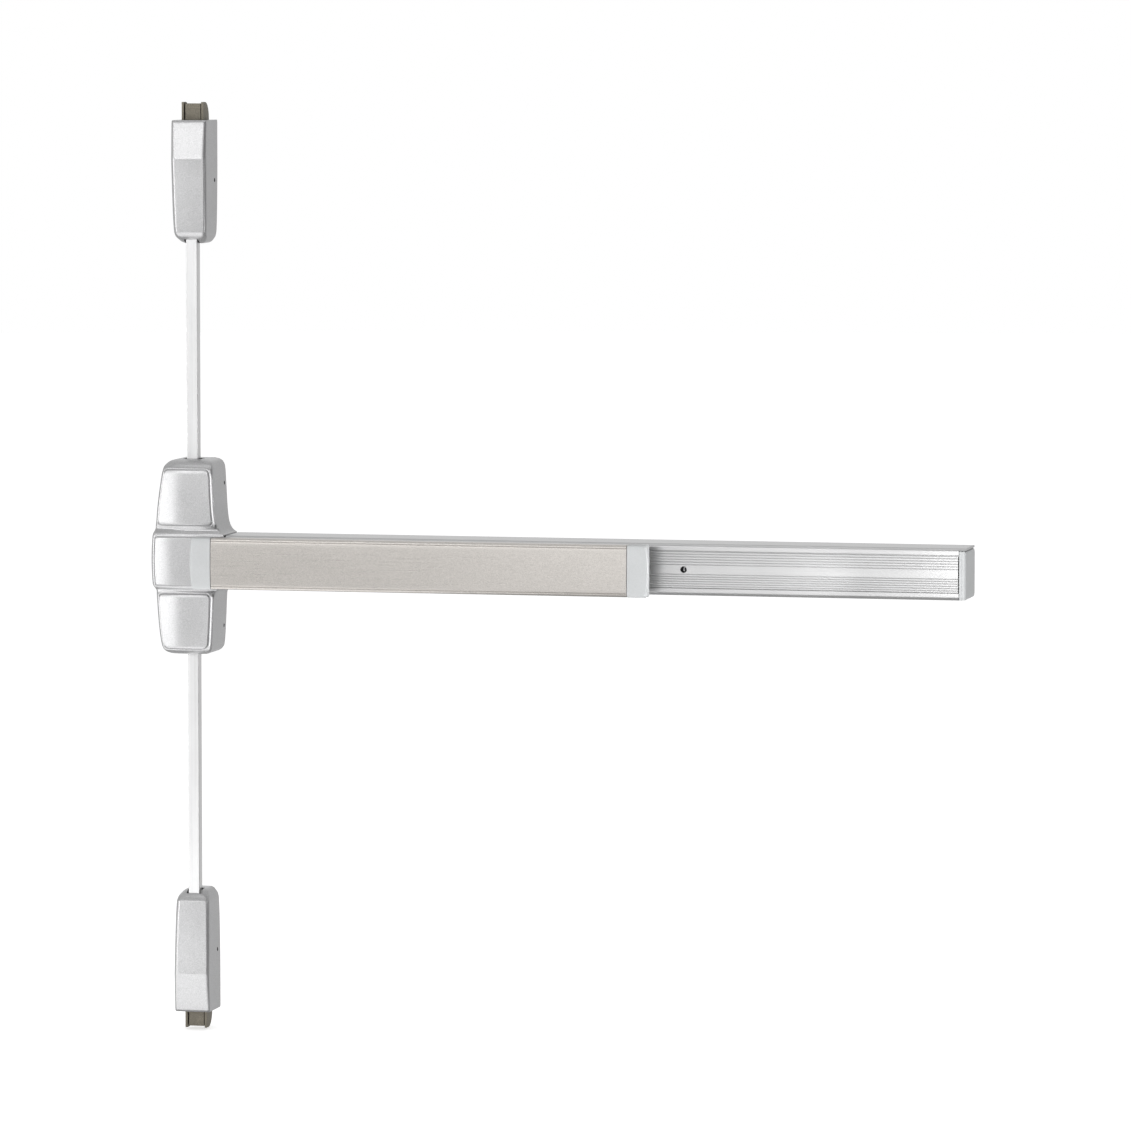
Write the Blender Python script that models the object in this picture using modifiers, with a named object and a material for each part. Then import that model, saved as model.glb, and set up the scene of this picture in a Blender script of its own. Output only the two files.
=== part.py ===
"""Panic exit bar: push pad, grooved mechanism case, centre case, two vertical rods and their latches.

Metres, +Z up. +X runs along the bar, +Y points into the door, and the door's face is the plane y = 0.
The origin is on the door's face, where the rods' centreline meets the bar's centreline.
Lengths in the constants are millimetres. "Depth" is the distance out from the door's face, so y = -depth.
"""

import math

import bmesh
import bpy
from mathutils import Matrix, Vector

MM = 0.001
WELD = 0.000001
FLAT = math.radians(0.01)
SHARP = math.radians(32)

# Mechanism case: a 2 1/4 in square channel, open at the front between two rolled lips.
CASE_SIZE = 57.0
CASE_WALL = 2.5
CASE_START = 42.4
CASE_END = 878.0
CASE_MOUTH = 41.0
CAP_START = 870.3
COVER_START = 512.0
COVER_GROOVE = 0.6
UPPER_GROOVES = 5
LOWER_GROOVES = 6

# Push pad: stands 97 out from the door and moves 19 in.
PAD_OUT = 97.0
PAD_TRAVEL = 19.0
PAD_HEIGHT = 57.0
PAD_SKIN = 2.0
PAD_DEPTH = 16.0
PAD_START = 37.3
PAD_END = 509.3
CAP_LEFT_END = 13.0
CAP_RIGHT_END = 533.5

# Rods: 1/2 in square bar, cut to suit the door. The two latch heights set their lengths.
ROD_SIZE = 12.7
ROD_DEPTH = 30.0
TOP_LATCH_Z = 489.0
BOTTOM_LATCH_Z = -508.0
BOLT_OUT = 20.0
LATCH_LENGTH = 137.0
LATCH_HALF = 20.3
LATCH_DEPTH = 50.0

# Bell cranks in the mechanism case, and the cranks in the centre case.
CRANK_XS = (110.0, 430.0)
CRANK_DEPTH = 30.0
CRANK_IN = 30.5
CRANK_OUT = 16.5
CRANK_HALF_SWING = math.atan(PAD_TRAVEL / 2 / CRANK_IN)
LINK_DEPTH = CRANK_DEPTH - CRANK_OUT
LINK_PIN_DEPTH = CRANK_DEPTH + PAD_TRAVEL / 2
LINK_HALF_TRAVEL = CRANK_OUT * math.tan(CRANK_HALF_SWING)
POST_X = -22.0
POST_Z = 18.0
CENTRE_IN = 11.0
CENTRE_HALF_SWING = math.atan(LINK_HALF_TRAVEL / CENTRE_IN)
ROD_PIN_Z = POST_Z - POST_X * math.tan(CENTRE_HALF_SWING)

# Screw holes for the door, and the side screws of a latch.
SCREW_HOLE = 3.3
END_SCREWS = ((836.0, 14.0), (836.0, -14.0))
LATCH_SCREW_Y = -12.0
LATCH_SCREW_DOWN = 67.0

# Return spring: wire and coil radii, and the coil's ends.
SPRING_WIRE = 0.8
SPRING_RADIUS = 4.6
SPRING_START = 486.2
SPRING_END = 530.6
SPRING_TURNS = 9
SPRING_STEPS = 14

# Dogging: a hex-socket shaft behind a hole in the grooved cover.
DOG_X = 564.5
KEY_HOLE = 3.65

COLOURS = {
    "silver_paint": ((0.70, 0.70, 0.71), 0.45, 0.38),
    "pad_steel": ((0.62, 0.59, 0.55), 1.0, 0.34),
    "case_alloy": ((0.72, 0.71, 0.70), 1.0, 0.36),
    "cap_grey": ((0.72, 0.72, 0.73), 0.0, 0.45),
    "rod_steel": ((0.88, 0.88, 0.88), 0.6, 0.30),
    "bolt_steel": ((0.20, 0.18, 0.15), 0.9, 0.50),
    "zinc_steel": ((0.55, 0.56, 0.58), 1.0, 0.35),
    "spring_steel": ((0.30, 0.30, 0.32), 1.0, 0.35),
    "screw_steel": ((0.35, 0.35, 0.36), 1.0, 0.40),
}


def clear_scene():
    for obj in list(bpy.data.objects):
        bpy.data.objects.remove(obj, do_unlink=True)


def new_collection(name):
    found = bpy.data.collections.new(name)
    bpy.context.scene.collection.children.link(found)
    return found


def material(name):
    found = bpy.data.materials.get(name)
    if found:
        return found
    colour, metallic, roughness = COLOURS[name]
    found = bpy.data.materials.new(name)
    found.use_nodes = True
    shader = found.node_tree.nodes["Principled BSDF"]
    shader.inputs["Base Color"].default_value = (*colour, 1.0)
    shader.inputs["Metallic"].default_value = metallic
    shader.inputs["Roughness"].default_value = roughness
    return found


def add_object(name, data, slot):
    """An object of the part. slot None makes it a cutter, or a shape that is joined to another."""
    obj = bpy.data.objects.new(name, data)
    if slot is None:
        CUTTERS.objects.link(obj)
        obj.hide_render = True
        obj.display_type = "WIRE"
    else:
        PARTS.objects.link(obj)
        data.materials.append(material(slot))
    return obj


def add_bmesh(name, bm, slot):
    """An object from a closed bmesh, its faces turned outwards."""
    bmesh.ops.recalc_face_normals(bm, faces=bm.faces)
    if bm.calc_volume(signed=True) < 0:
        bmesh.ops.reverse_faces(bm, faces=bm.faces)
    mesh = bpy.data.meshes.new(name)
    bm.to_mesh(mesh)
    bm.free()
    mesh.shade_smooth()
    mesh.set_sharp_from_angle(angle=SHARP)
    return add_object(name, mesh, slot)


def spot(axis, across, up, along):
    """A point from its place along an axis and its other two coordinates.

    The other two are (y, z) for X, (x, z) for Y and (x, y) for Z.
    """
    places = {"X": (along, across, up), "Y": (across, along, up), "Z": (across, up, along)}
    return Vector(places[axis])


def stand(bm, axis, start, end, centre=(0.0, 0.0)):
    """Turns a flat shape from its own z to an axis, its two ends at two places along it."""
    for vert in bm.verts:
        along = start if vert.co.z < 0 else end
        vert.co = spot(axis, vert.co.x + centre[0] * MM, vert.co.y + centre[1] * MM, along * MM)


def box(name, xs, depths, zs, slot=None):
    """A block between two x, two depths and two z."""
    spans = (xs, (-depths[1], -depths[0]), zs)
    bm = bmesh.new()
    bmesh.ops.create_cube(bm, size=1.0)
    for vert in bm.verts:
        corner = [low if side < 0 else high for side, (low, high) in zip(vert.co, spans)]
        vert.co = Vector(corner) * MM
    return add_bmesh(name, bm, slot)


def cylinder(name, axis, centre, radius, start, end, slot=None, sides=24):
    """A round bar along an axis. centre is its other two coordinates, in spot's order."""
    bm = bmesh.new()
    size = radius * MM
    bmesh.ops.create_cone(bm, cap_ends=True, segments=sides, radius1=size, radius2=size, depth=1.0)
    stand(bm, axis, start, end, centre)
    return add_bmesh(name, bm, slot)


def drawn_curve(name, points, dimensions, closed):
    """An object with one straight-sided spline through points in millimetres."""
    curve = bpy.data.curves.new(name, "CURVE")
    curve.dimensions = dimensions
    spline = curve.splines.new("POLY")
    spline.points.add(len(points) - 1)
    for place, point in zip(spline.points, points):
        place.co = (*(Vector(point).to_3d() * MM), 1.0)
    spline.use_cyclic_u = closed
    return curve


def plate(name, outline, axis, start, end, slot=None):
    """A flat outline with a thickness along an axis. The outline's pairs are in spot's order."""
    curve = drawn_curve(name, outline, "2D", True)
    curve.fill_mode = "BOTH"
    curve.extrude = abs(end - start) / 2 * MM
    flat = bpy.data.objects.new(name, curve)
    bpy.context.scene.collection.objects.link(flat)
    graph = bpy.context.evaluated_depsgraph_get()
    mesh = bpy.data.meshes.new_from_object(flat.evaluated_get(graph))
    bm = bmesh.new()
    bm.from_mesh(mesh)
    bpy.data.objects.remove(flat)
    bpy.data.curves.remove(curve)
    bpy.data.meshes.remove(mesh)
    bmesh.ops.remove_doubles(bm, verts=bm.verts, dist=WELD)
    bmesh.ops.dissolve_limit(bm, angle_limit=FLAT, verts=bm.verts, edges=bm.edges)
    stand(bm, axis, start, end)
    return add_bmesh(name, bm, slot)


def loft(name, rings, slot=None):
    """A closed body through unlike sections with the same number of points."""
    bm = bmesh.new()
    rows = [[bm.verts.new(Vector(point) * MM) for point in ring] for ring in rings]
    for low, high in zip(rows, rows[1:]):
        for i in range(len(low)):
            bm.faces.new((low[i - 1], low[i], high[i], high[i - 1]))
    bm.faces.new(rows[0])
    bm.faces.new(rows[-1])
    return add_bmesh(name, bm, slot)


def moving(name, place, pieces):
    """An empty on a joint's axis. It carries the pieces that move together, and their cutters."""
    empty = bpy.data.objects.new(name, None)
    empty.location = Vector(place) * MM
    PARTS.objects.link(empty)
    for piece in pieces:
        shapes = [modifier.object for modifier in piece.modifiers if modifier.type == "BOOLEAN"]
        for shape in [piece] + shapes:
            shape.data.transform(Matrix.Translation(-empty.location))
            shape.parent = empty


def join(obj, other, operation):
    modifier = obj.modifiers.new(operation.title(), "BOOLEAN")
    modifier.operation = operation
    modifier.object = other
    modifier.solver = "EXACT"
    return obj


def cut(obj, *cutters):
    for cutter in cutters:
        join(obj, cutter, "DIFFERENCE")
    return obj


def fuse(obj, *others):
    for other in others:
        join(obj, other, "UNION")
    return obj


def soften(obj, width, segments=2):
    modifier = obj.modifiers.new("Bevel", "BEVEL")
    modifier.width = width * MM
    modifier.segments = segments
    modifier.limit_method = "ANGLE"
    modifier.angle_limit = math.radians(40)
    return obj


def rounded_section(left, right, depth, radius, back, steps=5):
    """Points (x, depth) of a cover's section, from back left over the front to back right."""
    points = [(left, back)]
    for i in range(steps + 1):
        angle = math.pi - i * math.pi / 2 / steps
        points.append((left + radius + radius * math.cos(angle), depth - radius + radius * math.sin(angle)))
    for i in range(steps + 1):
        angle = math.pi / 2 - i * math.pi / 2 / steps
        points.append((right - radius + radius * math.cos(angle), depth - radius + radius * math.sin(angle)))
    points.append((right, back))
    return points


def cover_solid(name, levels, back, slot=None):
    """A closed body through rounded sections. Each level is (z, left, right, depth, corner radius)."""
    rings = []
    for z, left, right, depth, radius in levels:
        section = rounded_section(left, right, depth, radius, back)
        rings.append([(x, -d, z) for x, d in section])
    return loft(name, rings, slot)


def shrunk(levels, wall):
    """The inside of a cover: each level set in by the wall, and the end levels set in along z."""
    inner = []
    for index, (z, left, right, depth, radius) in enumerate(levels):
        if index == 0:
            z += wall
        elif index == len(levels) - 1:
            z -= wall
        inner.append((z, left + wall, right - wall, depth - wall, max(radius - wall, 0.8)))
    return inner


# Centre case.


CENTRE_LEVELS = [
    (-106.0, -19.0, 17.0, 40.0, 9.0),
    (-104.0, -25.5, 22.5, 49.0, 10.0),
    (-99.0, -30.0, 26.0, 55.0, 9.0),
    (-88.0, -33.0, 27.5, 57.0, 7.0),
    (-66.0, -35.5, 28.8, 57.6, 7.0),
    (-40.0, -37.5, 30.0, 58.0, 7.0),
    (-34.0, -38.3, 31.0, 57.2, 7.0),
    (-31.0, -40.0, 41.5, 58.6, 8.0),
    (-26.0, -41.6, 42.0, 60.0, 8.0),
    (0.0, -42.4, 42.0, 60.0, 8.0),
    (26.0, -41.6, 42.0, 60.0, 8.0),
    (32.0, -40.4, 41.5, 58.8, 8.0),
    (35.0, -39.4, 39.0, 57.0, 7.0),
    (39.0, -38.2, 35.0, 57.8, 7.0),
    (45.0, -37.4, 32.4, 58.0, 7.0),
    (56.0, -36.4, 30.6, 58.0, 7.0),
    (84.0, -32.6, 29.2, 57.4, 7.0),
    (100.0, -29.4, 28.4, 56.4, 8.0),
    (107.0, -26.8, 26.8, 54.0, 10.0),
    (110.6, -23.0, 23.5, 49.0, 10.0),
    (112.0, -18.0, 18.0, 42.0, 9.0),
]
COVER_WALL = 2.5
CENTRE_SCREWS = ((84.0, 1), (84.0, -1), (-76.0, 1), (-76.0, -1))
CENTRE_SCREW_Y = -9.0


def centre_cover():
    obj = cover_solid("centre_case_cover", CENTRE_LEVELS, 0.5, "silver_paint")
    inner = cover_solid("cut_centre_inside", shrunk(CENTRE_LEVELS, COVER_WALL), -2.0)
    upper = box("cut_upper_rod_way", (-10.5, 10.5), (4.0, 38.5), (100.0, 116.0))
    lower = box("cut_lower_rod_way", (-8.0, 8.0), (4.0, 38.5), (-110.0, -96.0))
    side = box("cut_bar_way", (37.0, 44.0), (5.0, 51.0), (-22.0, 22.0))
    cut(obj, inner, upper, lower, side)
    for index, (z, sign) in enumerate(CENTRE_SCREWS, 1):
        ends = (sign * 22.0, sign * 42.0)
        cut(obj, cylinder(f"cut_centre_screw_{index}", "X", (CENTRE_SCREW_Y, z), 2.1, *ends, sides=16))
    return obj


def centre_screw(index, z, sign):
    """A socket-head cap screw through the cover's side wall, its head just inside the surface."""
    edge = 29.2 if sign > 0 else 32.4
    if z < 0:
        edge = 28.2 if sign > 0 else 34.4
    centre = (CENTRE_SCREW_Y, z)
    ends = (sign * (edge - 9.0), sign * (edge - 0.5))
    obj = cylinder(f"centre_cover_screw_{index}", "X", centre, 1.8, *ends, "screw_steel", 16)
    ends = (sign * (edge - 2.0), sign * (edge + 1.0))
    return cut(obj, cylinder(f"cut_centre_socket_{index}", "X", centre, 0.9, *ends, sides=6))


def centre_baseplate():
    outline = [(-22, 106), (22, 106), (25, 84), (26, 40), (28, 24), (28, -24), (26, -40)]
    outline += [(23, -84), (20, -98), (-20, -98), (-26, -84), (-30, -40)]
    outline += [(-34, -24), (-34, 24), (-32, 40), (-27, 84)]
    obj = plate("centre_baseplate", outline, "Y", 0.0, -3.0, "zinc_steel")
    for index, (x, z) in enumerate(((-12.0, 70.0), (12.0, 70.0), (-12.0, -70.0), (12.0, -70.0)), 1):
        cut(obj, cylinder(f"cut_base_hole_{index}", "Y", (x, z), SCREW_HOLE, 1.0, -4.0, sides=20))
    return obj


def crank_post(name, sign):
    return cylinder(name, "Y", (POST_X, sign * POST_Z), 3.0, -3.3, -20.0, "zinc_steel")


def arm_outline(pivot, angle, width, length, slot_start, slot_half):
    """A flat arm from the pivot at an angle, with an open slot in its end."""
    half = width / 2
    local = [(0, -half), (length, -half), (length, -slot_half), (slot_start, -slot_half)]
    local += [(slot_start, slot_half), (length, slot_half), (length, half), (0, half)]
    cos, sin = math.cos(angle), math.sin(angle)
    return [(pivot[0] + a * cos - b * sin, pivot[1] + a * sin + b * cos) for a, b in local]


def centre_crank(name, sign):
    """A two-armed crank: the bar's link drives the short arm, and the long arm moves a rod."""
    pivot = (POST_X, sign * POST_Z)
    obj = cylinder(name, "Y", pivot, 5.6, -16.0, -19.0, "zinc_steel")
    rod_angle = sign * CENTRE_HALF_SWING
    link_angle = sign * (CENTRE_HALF_SWING - math.pi / 2)
    rod_arm = plate(name + "_rod_arm", arm_outline(pivot, rod_angle, 9.6, 28.0, 18.6, 2.5), "Y", -16.0, -19.0)
    link_outline = arm_outline(pivot, link_angle, 8.8, 14.6, 8.4, 2.3)
    link_arm = plate(name + "_link_arm", link_outline, "Y", -16.0, -19.0)
    hole = cylinder(name + "_hole", "Y", pivot, 3.1, -15.0, -20.0)
    return cut(fuse(obj, rod_arm, link_arm), hole)


# Rods and bolts.


def rod_connector(name, sign):
    """The block on a rod's inner end. Its pin sits in the crank's long arm."""
    low, high = sorted((sign * (ROD_PIN_Z - 5.0), sign * 60.0))
    obj = box(name, (-8.0, 8.0), (21.0, 38.0), (low, high), "zinc_steel")
    pin = cylinder(name + "_pin", "Y", (0.0, sign * ROD_PIN_Z), 2.0, -15.8, -23.0)
    low, high = sorted((sign * 46.0, sign * 61.0))
    half = ROD_SIZE / 2 + 0.3
    socket = box(name + "_socket", (-half, half), (ROD_DEPTH - half, ROD_DEPTH + half), (low, high))
    return cut(fuse(obj, pin), socket)


def rod(name, start, end):
    half = ROD_SIZE / 2
    depths = (ROD_DEPTH - half, ROD_DEPTH + half)
    return soften(box(name, (-half, half), depths, sorted((start, end)), "rod_steel"), 0.5, 1)


def latch_bolt(name, tip, sign):
    """A beaked bolt: a straight front with two ridges, and a back that curves away from the tip."""
    outline = []
    for i in range(9):
        angle = i * math.pi / 2 / 8
        outline.append((-(22.0 - 15.0 * math.sin(angle)), tip - sign * 18.0 * (1 - math.cos(angle))))
    outline += [(-7.0, tip - sign * 45.0), (-30.0, tip - sign * 45.0), (-30.0, tip)]
    obj = plate(name, outline, "X", -12.5, 12.5, "bolt_steel")
    low, high = sorted((tip - sign * 30.0, tip + sign * 2.0))
    channel = box(name + "_channel", (-9.6, 9.6), (24.0, 32.0), (low, high))
    low, high = sorted((tip - sign * 1.6, tip + sign * 2.0))
    notch = box(name + "_notch", (-9.6, 9.6), (-2.0, 32.0), (low, high))
    return cut(obj, channel, notch)


# Latch cases.


def latch_levels(end, sign):
    """Sections of a latch cover, from its bolt end to its rod end."""
    rows = (
        (0.0, 0.6, LATCH_DEPTH - 1.6, 3.6),
        (1.4, 0.1, LATCH_DEPTH - 0.3, 4.2),
        (43.0, 0.0, LATCH_DEPTH, 4.6),
        (100.0, 0.7, LATCH_DEPTH - 3.4, 4.8),
        (126.0, 1.5, LATCH_DEPTH - 5.0, 5.2),
        (131.5, 3.0, LATCH_DEPTH - 9.0, 6.0),
        (135.0, 6.0, LATCH_DEPTH - 14.5, 7.0),
        (LATCH_LENGTH, 10.0, LATCH_DEPTH - 20.0, 7.0),
    )
    levels = []
    for z, inset, depth, radius in rows:
        levels.append((end - sign * z, inset - LATCH_HALF, LATCH_HALF - inset, depth, radius))
    return levels


def latch_inner(end, sign, wall):
    levels = latch_levels(end, sign)
    inner = []
    for index, (z, left, right, depth, radius) in enumerate(levels):
        if index == 0:
            z -= sign * wall
        elif index == len(levels) - 1:
            z += sign * wall
        inner.append((z, left + wall, right - wall, depth - wall, max(radius - wall, 0.8)))
    inner[1] = (end - sign * (wall + 1.0),) + inner[1][1:]
    inner[-2] = (end - sign * 132.5,) + inner[-2][1:]
    inner[-3] = (end - sign * 129.5,) + inner[-3][1:]
    return inner


def latch_cover(name, end, sign):
    obj = cover_solid(name, latch_levels(end, sign), 0.5, "silver_paint")
    inside = cover_solid(name + "_inside", latch_inner(end, sign, 2.2), -2.0)
    low, high = sorted((end - sign * 4.0, end + sign * 2.0))
    mouth = box(name + "_mouth", (-13.2, 13.2), (-2.0, 31.0), (low, high))
    low, high = sorted((end - sign * 128.0, end - sign * 140.0))
    rod_way = box(name + "_rod_way", (-8.4, 8.4), (4.0, 37.5), (low, high))
    cut(obj, inside, mouth, rod_way)
    for index, side in enumerate((1, -1), 1):
        centre = (LATCH_SCREW_Y, end - sign * LATCH_SCREW_DOWN)
        ends = (side * 14.0, side * 23.0)
        cut(obj, cylinder(f"{name}_screw_hole_{index}", "X", centre, 2.3, *ends, sides=16))
    return obj


def latch_screw(name, end, sign, side):
    centre = (LATCH_SCREW_Y, end - sign * LATCH_SCREW_DOWN)
    obj = cylinder(name, "X", centre, 2.0, side * 11.0, side * 19.6, "screw_steel", 16)
    return cut(obj, cylinder(name + "_socket", "X", centre, 1.0, side * 18.0, side * 21.0, sides=6))


def latch_base(name, end, sign):
    """The latch's chassis: a back plate with two cheeks that guide the bolt."""
    far, near = end - sign * 122.0, end - sign * 4.0
    obj = box(name, (-15.6, 15.6), (0.0, 3.0), sorted((far, near)), "zinc_steel")
    cheeks = sorted((end - sign * 75.0, end - sign * 6.0))
    left = box(name + "_left_cheek", (-15.6, -13.2), (2.0, 33.0), cheeks)
    right = box(name + "_right_cheek", (13.2, 15.6), (2.0, 33.0), cheeks)
    fuse(obj, left, right)
    for index, down in enumerate((78.0, 110.0), 1):
        centre = (0.0, end - sign * down)
        cut(obj, cylinder(f"{name}_hole_{index}", "Y", centre, SCREW_HOLE, 1.0, -4.0, sides=20))
    for index, side in enumerate((1, -1), 1):
        centre = (LATCH_SCREW_Y, end - sign * LATCH_SCREW_DOWN)
        cut(obj, cylinder(f"{name}_tap_{index}", "X", centre, 2.3, side * 9.0, side * 19.0, sides=16))
    return obj


# Mechanism case, its cover and its end.


def case_outline():
    """Section of the channel as (y, z): a square tube open at the front between two lips."""
    half = CASE_SIZE / 2
    lip = CASE_MOUTH / 2
    wall = CASE_WALL
    upper = [(0.0, half)]
    for i in range(6):
        angle = math.pi / 2 + i * math.pi / 2 / 5
        upper.append((-CASE_SIZE + 4.0 + 4.0 * math.cos(angle), half - 4.0 + 4.0 * math.sin(angle)))
    upper += [(-CASE_SIZE, lip + 0.6), (-CASE_SIZE + 0.6, lip), (-CASE_SIZE + wall, lip)]
    upper += [(-CASE_SIZE + wall, half - wall), (-wall, half - wall)]
    return upper + [(y, -z) for y, z in reversed(upper)]


def mechanism_case():
    obj = plate("mechanism_case", case_outline(), "X", CASE_START, CASE_END, "case_alloy")
    end = box("cut_case_end", (CAP_START, CASE_END + 1.0), (-1.0, 58.0), (-30.0, CASE_SIZE / 2 - CASE_WALL))
    cut(obj, end)
    for index, (x, z) in enumerate(END_SCREWS, 1):
        cut(obj, cylinder(f"cut_case_hole_{index}", "Y", (x, z), SCREW_HOLE, 1.0, -4.0, sides=20))
    return obj


def cover_outline():
    """Section of the grooved cover as (y, z): grooves in its face, and legs that hook behind the lips."""
    half = CASE_MOUTH / 2 - 0.3
    grooves = [17.1 - 2.9 * i for i in range(UPPER_GROOVES)]
    grooves += [-5.2 - 2.55 * i for i in range(LOWER_GROOVES)]
    front = [(-CASE_SIZE, half)]
    for z in grooves:
        front += [(-CASE_SIZE, z + 0.65), (-CASE_SIZE + COVER_GROOVE, z), (-CASE_SIZE, z - 0.65)]
    front.append((-CASE_SIZE, -half))
    inner = CASE_SIZE - CASE_WALL - 0.3
    back = [(-inner, -half), (-inner, -half - 3.5), (-inner + 1.8, -half - 3.5), (-inner + 1.8, -half + 1.8)]
    back += [(-CASE_SIZE + 2.6, -half + 3.0), (-CASE_SIZE + 2.6, half - 3.0)]
    back += [(-inner + 1.8, half - 1.8), (-inner + 1.8, half + 3.5), (-inner, half + 3.5), (-inner, half)]
    return front + back


def fluted_cover():
    obj = plate("fluted_cover", cover_outline(), "X", COVER_START, CAP_START - 0.3, "case_alloy")
    return cut(obj, cylinder("cut_key_hole", "Y", (DOG_X, 0.0), KEY_HOLE, -50.0, -60.0))


def end_cap():
    """Closes the bar's end. The case's top wall runs over it."""
    top = CASE_SIZE / 2 - CASE_WALL - 0.3
    low = -CASE_SIZE / 2
    outline = [(0.0, top), (-CASE_SIZE + 1.0, top), (-CASE_SIZE, top - 1.0)]
    for i in range(6):
        angle = math.pi + i * math.pi / 2 / 5
        outline.append((-CASE_SIZE + 4.0 + 4.0 * math.cos(angle), low + 4.0 + 4.0 * math.sin(angle)))
    outline.append((0.0, low))
    obj = plate("end_cap", outline, "X", CAP_START + 0.3, CASE_END + 0.2, "cap_grey")
    return cut(obj, box("cut_end_cap", (CAP_START, CASE_END - 2.6), (3.0, 53.0), (low + 3.0, top - 3.0)))


def end_bracket():
    """A bridge inside the case's end that its two door screws pass through."""
    outline = [(-2.8, 24.0), (-22.0, 24.0), (-22.0, 21.5), (-5.3, 21.5)]
    outline += [(y, -z) for y, z in reversed(outline)]
    obj = plate("end_bracket", outline, "X", 818.0, 856.0, "zinc_steel")
    for index, (x, z) in enumerate(END_SCREWS, 1):
        cut(obj, cylinder(f"cut_bracket_hole_{index}", "Y", (x, z), SCREW_HOLE, -1.0, -7.0, sides=20))
    return obj


# Push pad.


def pad_outline(grow=0.0):
    """Section of the pad's front as (y, z): a shallow tray with rounded edges and a slightly full face."""
    half = PAD_HEIGHT / 2 + grow
    front = PAD_OUT + grow
    upper = [(-(PAD_OUT - PAD_DEPTH), half)]
    for i in range(5):
        angle = math.pi / 2 + i * math.pi / 2 / 4
        upper.append((-(front - 1.1) + 3.0 + 3.0 * math.cos(angle), half - 3.0 + 3.0 * math.sin(angle)))
    upper += [(-(front - 0.3), half * 0.55), (-front, half * 0.2)]
    return upper + [(y, -z) for y, z in reversed(upper)]


def tray_outline():
    """The pad's section as a bent sheet."""
    outside = pad_outline()
    edge = PAD_HEIGHT / 2 - PAD_SKIN
    back = PAD_DEPTH - PAD_OUT
    floor = PAD_SKIN - PAD_OUT
    inside = [(back, edge), (floor + 0.8, edge), (floor, 20.0)]
    inside += [(y, -z) for y, z in reversed(inside)]
    return outside + inside[::-1]


def push_pad():
    return plate("push_pad", tray_outline(), "X", PAD_START, PAD_END, "pad_steel")


def pad_cap(name, inner, outer):
    """An end cap: the pad's section a little enlarged, bowed at its free edge."""
    rings = []
    direction = 1 if outer > inner else -1
    for share, drop in ((0.0, 0.0), (0.7, 0.0), (0.88, 0.5), (0.97, 1.6), (1.0, 3.2)):
        x = inner + (outer - inner) * share
        ring = []
        for y, z in pad_outline(0.4):
            bow = -direction * 1.6 * (z / 28.5) ** 2 * share
            squeeze = 1 - drop / 40
            ring.append((x + bow, min(y + drop, -(PAD_OUT - PAD_DEPTH)), z * squeeze))
        rings.append(ring)
    obj = loft(name, rings, "cap_grey")
    low, high = sorted((inner - direction * 1.0, outer - direction * 4.0))
    return cut(obj, box(name + "_inside", (low, high), (78.0, 94.5), (-26.0, 26.0)))


def pad_carrier():
    """A channel behind the pad, narrow enough to enter the case's mouth."""
    outline = [(-50.0, 19.5), (-94.6, 19.5), (-94.6, -19.5), (-50.0, -19.5)]
    outline += [(-50.0, -17.5), (-92.4, -17.5), (-92.4, 17.5), (-50.0, 17.5)]
    return plate("pad_carrier", outline, "X", 48.0, 500.0, "zinc_steel")


def pad_link_bracket(name, x):
    outline = [(-35.5, 5.6), (-92.1, 5.6), (-92.1, -5.6), (-35.5, -5.6)]
    outline += [(-35.5, -2.6), (-89.5, -2.6), (-89.5, 2.6), (-35.5, 2.6)]
    obj = plate(name, outline, "X", x - 5.0, x + 5.0, "zinc_steel")
    return cut(obj, cylinder(name + "_hole", "Z", (x, -LINK_PIN_DEPTH), 2.1, -7.0, 7.0))


def pad_link_pin(name, x):
    return cylinder(name, "Z", (x, -LINK_PIN_DEPTH), 2.0, -5.9, 5.9, "zinc_steel")


def dogging_catch():
    """The tongue on the pad's carrier that the dogging hook holds down."""
    outline = [(491.0, -40.0), (556.4, -40.0), (556.4, -42.5)]
    outline += [(493.5, -42.5), (493.5, -92.1), (491.0, -92.1)]
    return plate("dogging_catch", outline, "Z", -6.0, 6.0, "zinc_steel")


# Linkage in the mechanism case.


def bell_crank(name, x):
    pivot = (x, -CRANK_DEPTH)
    obj = cylinder(name, "Z", pivot, 6.0, -7.6, 7.6, "zinc_steel")
    pad_outline_points = arm_outline(pivot, -CRANK_HALF_SWING, 8.6, 36.5, 27.0, 2.5)
    pad_arm = plate(name + "_pad_arm", pad_outline_points, "Z", -2.0, 2.0)
    link_outline = arm_outline(pivot, math.pi / 2 - CRANK_HALF_SWING, 7.4, 19.2, 13.8, 1.8)
    link_arm = plate(name + "_link_arm", link_outline, "Z", -2.0, 2.0)
    hole = cylinder(name + "_hole", "Z", pivot, 3.1, -9.0, 9.0)
    return cut(fuse(obj, pad_arm, link_arm), hole)


def crank_bracket(name, x):
    outline = [(-2.8, 10.6), (-36.0, 10.6), (-36.0, 8.0), (-5.3, 8.0)]
    outline += [(y, -z) for y, z in reversed(outline)]
    obj = plate(name, outline, "X", x - 8.0, x + 8.0, "zinc_steel")
    return cut(obj, cylinder(name + "_hole", "Z", (x, -CRANK_DEPTH), 3.1, -12.0, 12.0))


def crank_pin(name, x):
    return cylinder(name, "Z", (x, -CRANK_DEPTH), 3.0, -11.2, 11.2, "zinc_steel")


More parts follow.
